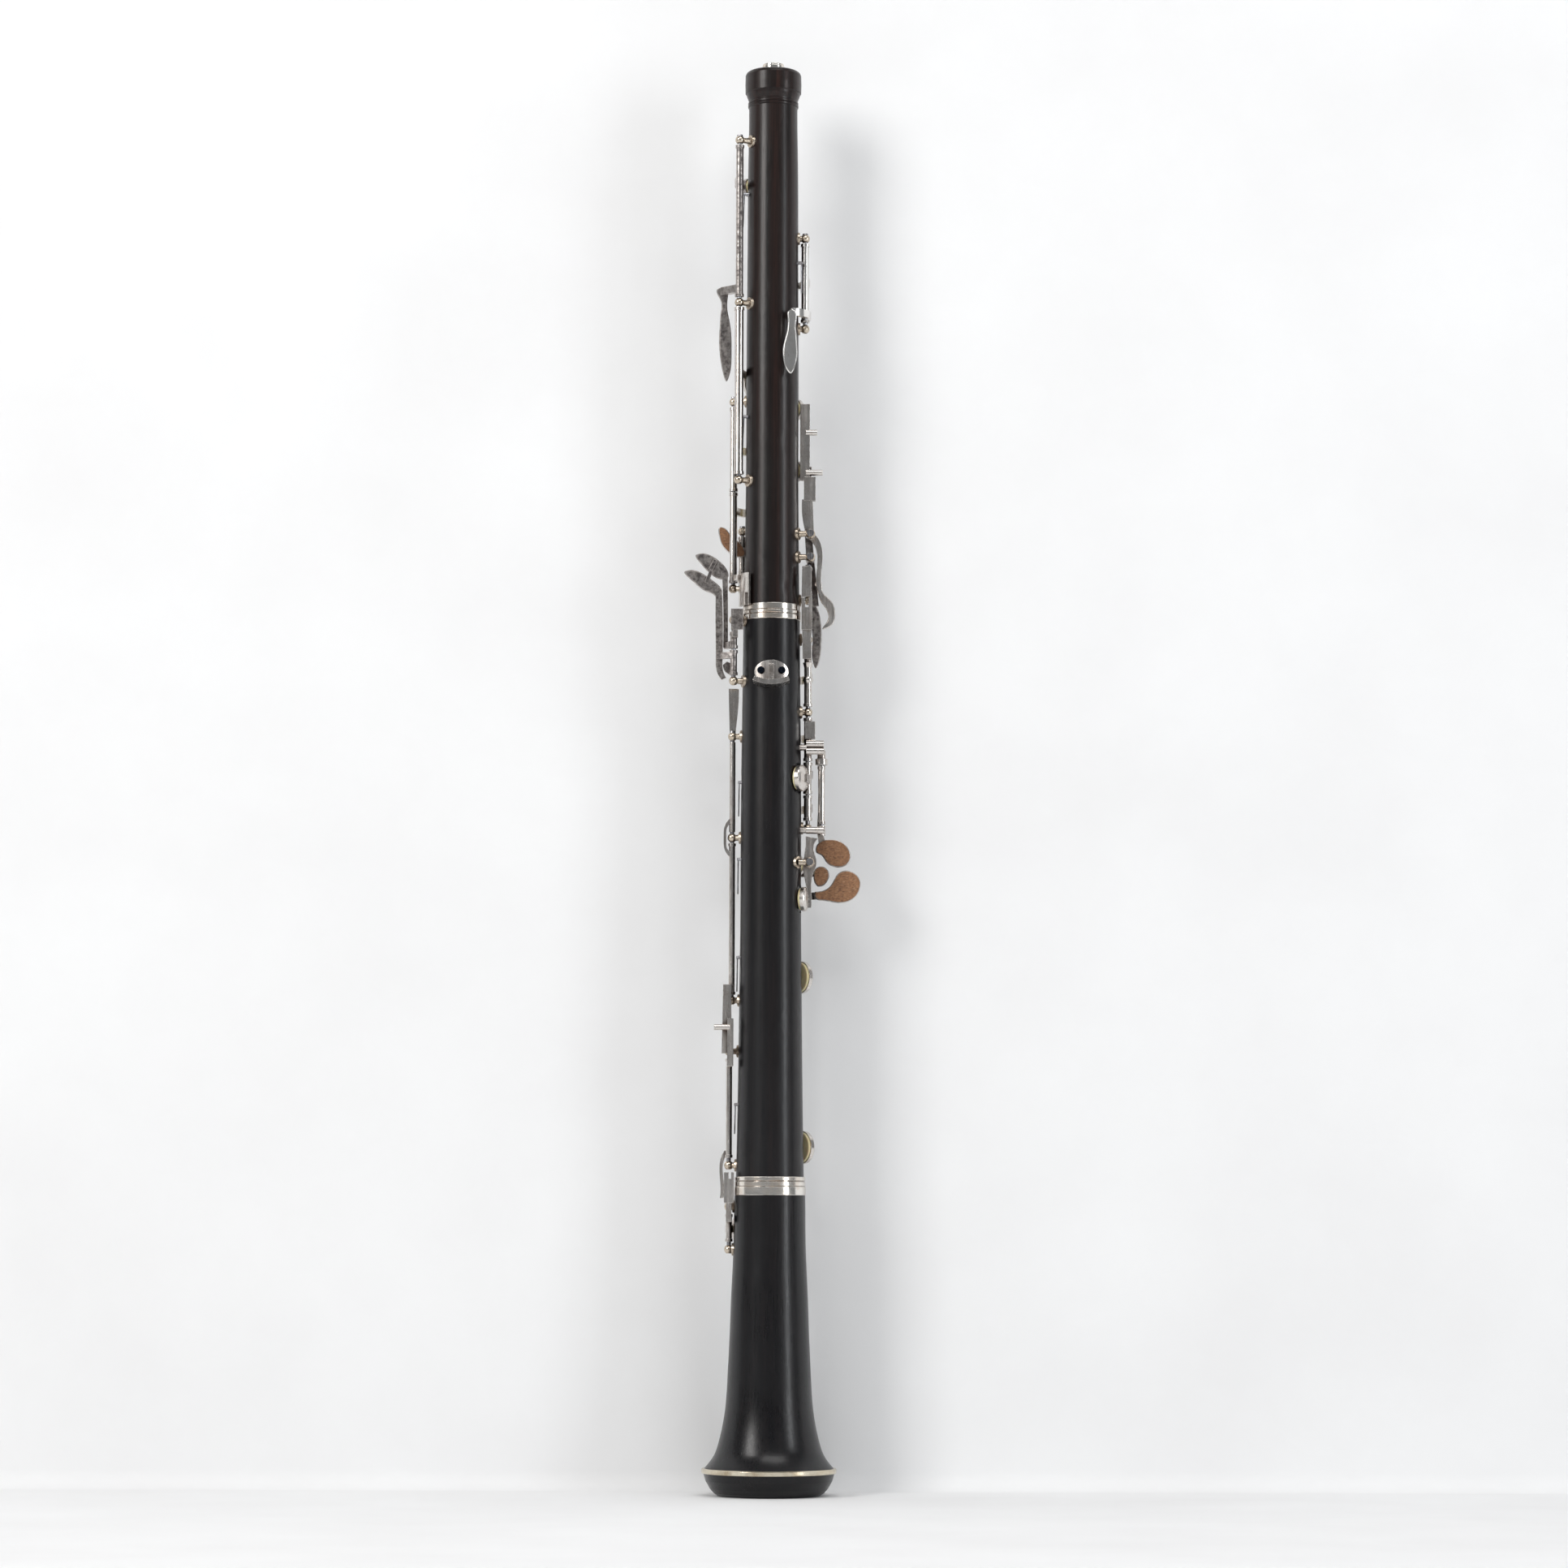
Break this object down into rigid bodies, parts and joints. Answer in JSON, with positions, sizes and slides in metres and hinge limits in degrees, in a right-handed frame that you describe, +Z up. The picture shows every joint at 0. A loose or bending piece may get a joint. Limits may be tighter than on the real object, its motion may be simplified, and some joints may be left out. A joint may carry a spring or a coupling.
{
  "type": "oboe",
  "caption": "Black wooden conical-bore double-reed woodwind in three sections, with sprung metal keywork on rods and posts, a flared bell and a socket for the reed.",
  "frame": {"origin": "centre of the bell's end face", "axes": "+Z up the bore towards the reed well, +Y towards the side the fingers play on, +X to the right when seen from the thumb-rest side"},
  "size_m": [0.0732, 0.0548, 0.592],
  "materials": {
    "grenadilla": "oiled satin blackwood",
    "keywork": "nickel silver, polished and lightly tarnished",
    "ring_metal": "polished nickel silver",
    "steel": "blued and polished steel",
    "cork": "cork",
    "pad_skin": "bladder skin over felt"
  },
  "bodies": {
    "body": {"upper_joint": "grenadilla", "lower_joint": "grenadilla", "bell": "grenadilla", "tenon_corks": "cork", "reed_well_liner": "ring_metal", "ferrules": "ring_metal", "bell_ring": "ring_metal", "octave_vents": "ring_metal", "thumb_rest": "keywork", "upper_posts": "keywork", "lower_posts": "keywork", "outrigger": "keywork", "bell_posts": "keywork", "hinge_rods": "steel", "screws": "steel", "needle_springs": "steel"},
    "side_octave": {"side_octave_key": "keywork", "side_octave_pad": "pad_skin"},
    "thumb_octave": {"thumb_octave_key": "keywork", "thumb_octave_pad": "pad_skin"},
    "left_first": {"left_first_key": "keywork", "left_first_pad": "pad_skin"},
    "left_second": {"left_second_key": "keywork", "left_second_pad": "pad_skin"},
    "left_third": {"left_third_key": "keywork", "left_third_pad": "pad_skin"},
    "g_sharp": {"g_sharp_key": "keywork", "g_sharp_cork": "cork", "g_sharp_pad": "pad_skin"},
    "trill_one": {"trill_lever_one": "keywork", "trill_one_pad": "pad_skin"},
    "trill_two": {"trill_lever_two": "keywork", "trill_two_pad": "pad_skin"},
    "bridge": {"bridge_key": "keywork"},
    "right_first": {"right_first_key": "keywork", "right_first_pad": "pad_skin"},
    "right_second": {"right_second_key": "keywork", "right_second_pad": "pad_skin"},
    "right_third": {"right_third_key": "keywork", "right_third_pad": "pad_skin"},
    "f": {"f_key": "keywork", "f_pad": "pad_skin"},
    "e_flat_touch": {"e_flat_touch_key": "keywork", "e_flat_touch_cork": "cork"},
    "e_flat": {"e_flat_key": "keywork", "e_flat_pad": "pad_skin"},
    "c_sharp": {"c_sharp_key": "keywork", "c_sharp_cork": "cork", "c_sharp_pad": "pad_skin"},
    "low_c": {"low_c_key": "keywork", "low_c_cork": "cork", "low_c_pad": "pad_skin"},
    "low_b": {"low_b_key": "keywork", "low_b_pad": "pad_skin"},
    "low_b_lever": {"low_b_lever": "keywork"},
    "low_b_flat_lever": {"low_b_flat_lever": "keywork"},
    "low_b_flat_rod": {"low_b_flat_rod": "keywork"},
    "low_b_flat_bridge": {"low_b_flat_bridge": "keywork"},
    "bell_key": {"bell_key": "keywork", "bell_pad": "pad_skin"}
  },
  "joints": [
    {"name": "side_octave_hinge", "type": "hinge", "parent": "body", "child": "side_octave", "pos_m": [-0.0138, -0.0075, 0.5237], "axis": [0, 0, 1], "range_deg": [0, 8], "stiffness_Nm_per_rad": 0.02, "springref_deg": -17.19},
    {"name": "thumb_octave_hinge", "type": "hinge", "parent": "body", "child": "thumb_octave", "pos_m": [0.0135, 0.0005, 0.499], "axis": [0, 0, 1], "range_deg": [-8, 0], "stiffness_Nm_per_rad": 0.02, "springref_deg": 17.19},
    {"name": "left_first_hinge", "type": "hinge", "parent": "body", "child": "left_first", "pos_m": [-0.0138, -0.0075, 0.452], "axis": [0, 0, 1], "range_deg": [-5.8, 0], "stiffness_Nm_per_rad": 0.02, "springref_deg": 17.19},
    {"name": "left_second_hinge", "type": "hinge", "parent": "body", "child": "left_second", "pos_m": [-0.016, 0.004, 0.4296], "axis": [0, 0, 1], "range_deg": [-6.2, 0], "stiffness_Nm_per_rad": 0.02, "springref_deg": 17.19},
    {"name": "left_third_hinge", "type": "hinge", "parent": "body", "child": "left_third", "pos_m": [-0.016, 0.004, 0.3925], "axis": [0, 0, 1], "range_deg": [-6.2, 0], "stiffness_Nm_per_rad": 0.02, "springref_deg": 17.19},
    {"name": "g_sharp_hinge", "type": "hinge", "parent": "body", "child": "g_sharp", "pos_m": [-0.0123, 0.0103, 0.386], "axis": [0, 0, 1], "range_deg": [0, 6.5], "stiffness_Nm_per_rad": 0.02, "springref_deg": -17.19},
    {"name": "trill_one_pivot", "type": "hinge", "parent": "body", "child": "trill_one", "pos_m": [0.0159, 0.0005, 0.3931], "axis": [0, 1, 0], "range_deg": [0, 2.4], "stiffness_Nm_per_rad": 0.02, "springref_deg": -17.19},
    {"name": "trill_two_pivot", "type": "hinge", "parent": "body", "child": "trill_two", "pos_m": [0.0159, 0.0019, 0.3834], "axis": [0, 1, 0], "range_deg": [0, 3.2], "stiffness_Nm_per_rad": 0.02, "springref_deg": -17.19},
    {"name": "bridge_hinge", "type": "hinge", "parent": "body", "child": "bridge", "pos_m": [0.01505, 0.001, 0.374], "axis": [0, 0, 1], "range_deg": [0, 7], "stiffness_Nm_per_rad": 0.02, "springref_deg": -17.19},
    {"name": "right_first_hinge", "type": "hinge", "parent": "body", "child": "right_first", "pos_m": [0.01505, 0.001, 0.3345], "axis": [0, 0, 1], "range_deg": [0, 7], "stiffness_Nm_per_rad": 0.02, "springref_deg": -17.19},
    {"name": "right_second_hinge", "type": "hinge", "parent": "body", "child": "right_second", "pos_m": [0.01505, 0.001, 0.3082], "axis": [0, 0, 1], "range_deg": [0, 7], "stiffness_Nm_per_rad": 0.02, "springref_deg": -17.19},
    {"name": "right_third_hinge", "type": "hinge", "parent": "body", "child": "right_third", "pos_m": [0.01505, 0.001, 0.2794], "axis": [0, 0, 1], "range_deg": [0, 7], "stiffness_Nm_per_rad": 0.02, "springref_deg": -17.19},
    {"name": "f_hinge", "type": "hinge", "parent": "body", "child": "f", "pos_m": [0.01505, 0.001, 0.2921], "axis": [0, 0, 1], "range_deg": [0, 12], "stiffness_Nm_per_rad": 0.02, "springref_deg": -17.19},
    {"name": "e_flat_touch_hinge", "type": "hinge", "parent": "body", "child": "e_flat_touch", "pos_m": [0.0207, 0.004, 0.2854], "axis": [0, 0, 1], "range_deg": [-8, 0], "stiffness_Nm_per_rad": 0.02, "springref_deg": 17.19},
    {"name": "e_flat_pivot", "type": "hinge", "parent": "body", "child": "e_flat", "pos_m": [0.0159, -0.0024, 0.2568], "axis": [0, 1, 0], "range_deg": [-7, 0], "stiffness_Nm_per_rad": 0.02, "springref_deg": 17.19},
    {"name": "c_sharp_hinge", "type": "hinge", "parent": "body", "child": "c_sharp", "pos_m": [-0.0061, 0.0168, 0.257], "axis": [0, 0, 1], "range_deg": [-6.5, 0], "stiffness_Nm_per_rad": 0.02, "springref_deg": 17.19},
    {"name": "low_c_hinge", "type": "hinge", "parent": "body", "child": "low_c", "pos_m": [-0.0061, 0.0168, 0.2232], "axis": [0, 0, 1], "range_deg": [-7, 0], "stiffness_Nm_per_rad": 0.02, "springref_deg": 17.19},
    {"name": "low_b_hinge", "type": "hinge", "parent": "body", "child": "low_b", "pos_m": [-0.0061, 0.0168, 0.1628], "axis": [0, 0, 1], "range_deg": [-7, 0], "stiffness_Nm_per_rad": 0.02, "springref_deg": 17.19},
    {"name": "low_b_lever_hinge", "type": "hinge", "parent": "body", "child": "low_b_lever", "pos_m": [-0.0156, -0.0046, 0.3486], "axis": [0, 0, 1], "range_deg": [0, 9], "stiffness_Nm_per_rad": 0.02, "springref_deg": -17.19},
    {"name": "low_b_flat_lever_hinge", "type": "hinge", "parent": "body", "child": "low_b_flat_lever", "pos_m": [-0.0156, -0.0046, 0.3394], "axis": [0, 0, 1], "range_deg": [0, 9], "stiffness_Nm_per_rad": 0.02, "springref_deg": -17.19},
    {"name": "low_b_flat_rod_hinge", "type": "hinge", "parent": "body", "child": "low_b_flat_rod", "pos_m": [-0.01595, 0.002, 0.2341], "axis": [0, 0, 1], "range_deg": [-9.5, 0], "stiffness_Nm_per_rad": 0.02, "springref_deg": 17.19},
    {"name": "low_b_flat_bridge_hinge", "type": "hinge", "parent": "body", "child": "low_b_flat_bridge", "pos_m": [-0.0168, 0.002, 0.1565], "axis": [0, 0, 1], "range_deg": [-9.5, 0], "stiffness_Nm_per_rad": 0.02, "springref_deg": 17.19},
    {"name": "bell_key_hinge", "type": "hinge", "parent": "body", "child": "bell_key", "pos_m": [-0.01665, 0.002, 0.1078], "axis": [0, 0, 1], "range_deg": [-9.5, 0], "stiffness_Nm_per_rad": 0.02, "springref_deg": 17.19}
  ],
  "couplings": [
    {"joint": "bridge_hinge", "follows": "right_first_hinge", "ratio": 1},
    {"joint": "e_flat_pivot", "follows": "e_flat_touch_hinge", "ratio": 0.875},
    {"joint": "low_b_lever_hinge", "follows": "low_b_hinge", "ratio": -1.2857},
    {"joint": "low_b_flat_lever_hinge", "follows": "low_b_flat_rod_hinge", "ratio": -0.94737},
    {"joint": "low_b_flat_bridge_hinge", "follows": "low_b_flat_rod_hinge", "ratio": 1},
    {"joint": "bell_key_hinge", "follows": "low_b_flat_rod_hinge", "ratio": 1}
  ]
}
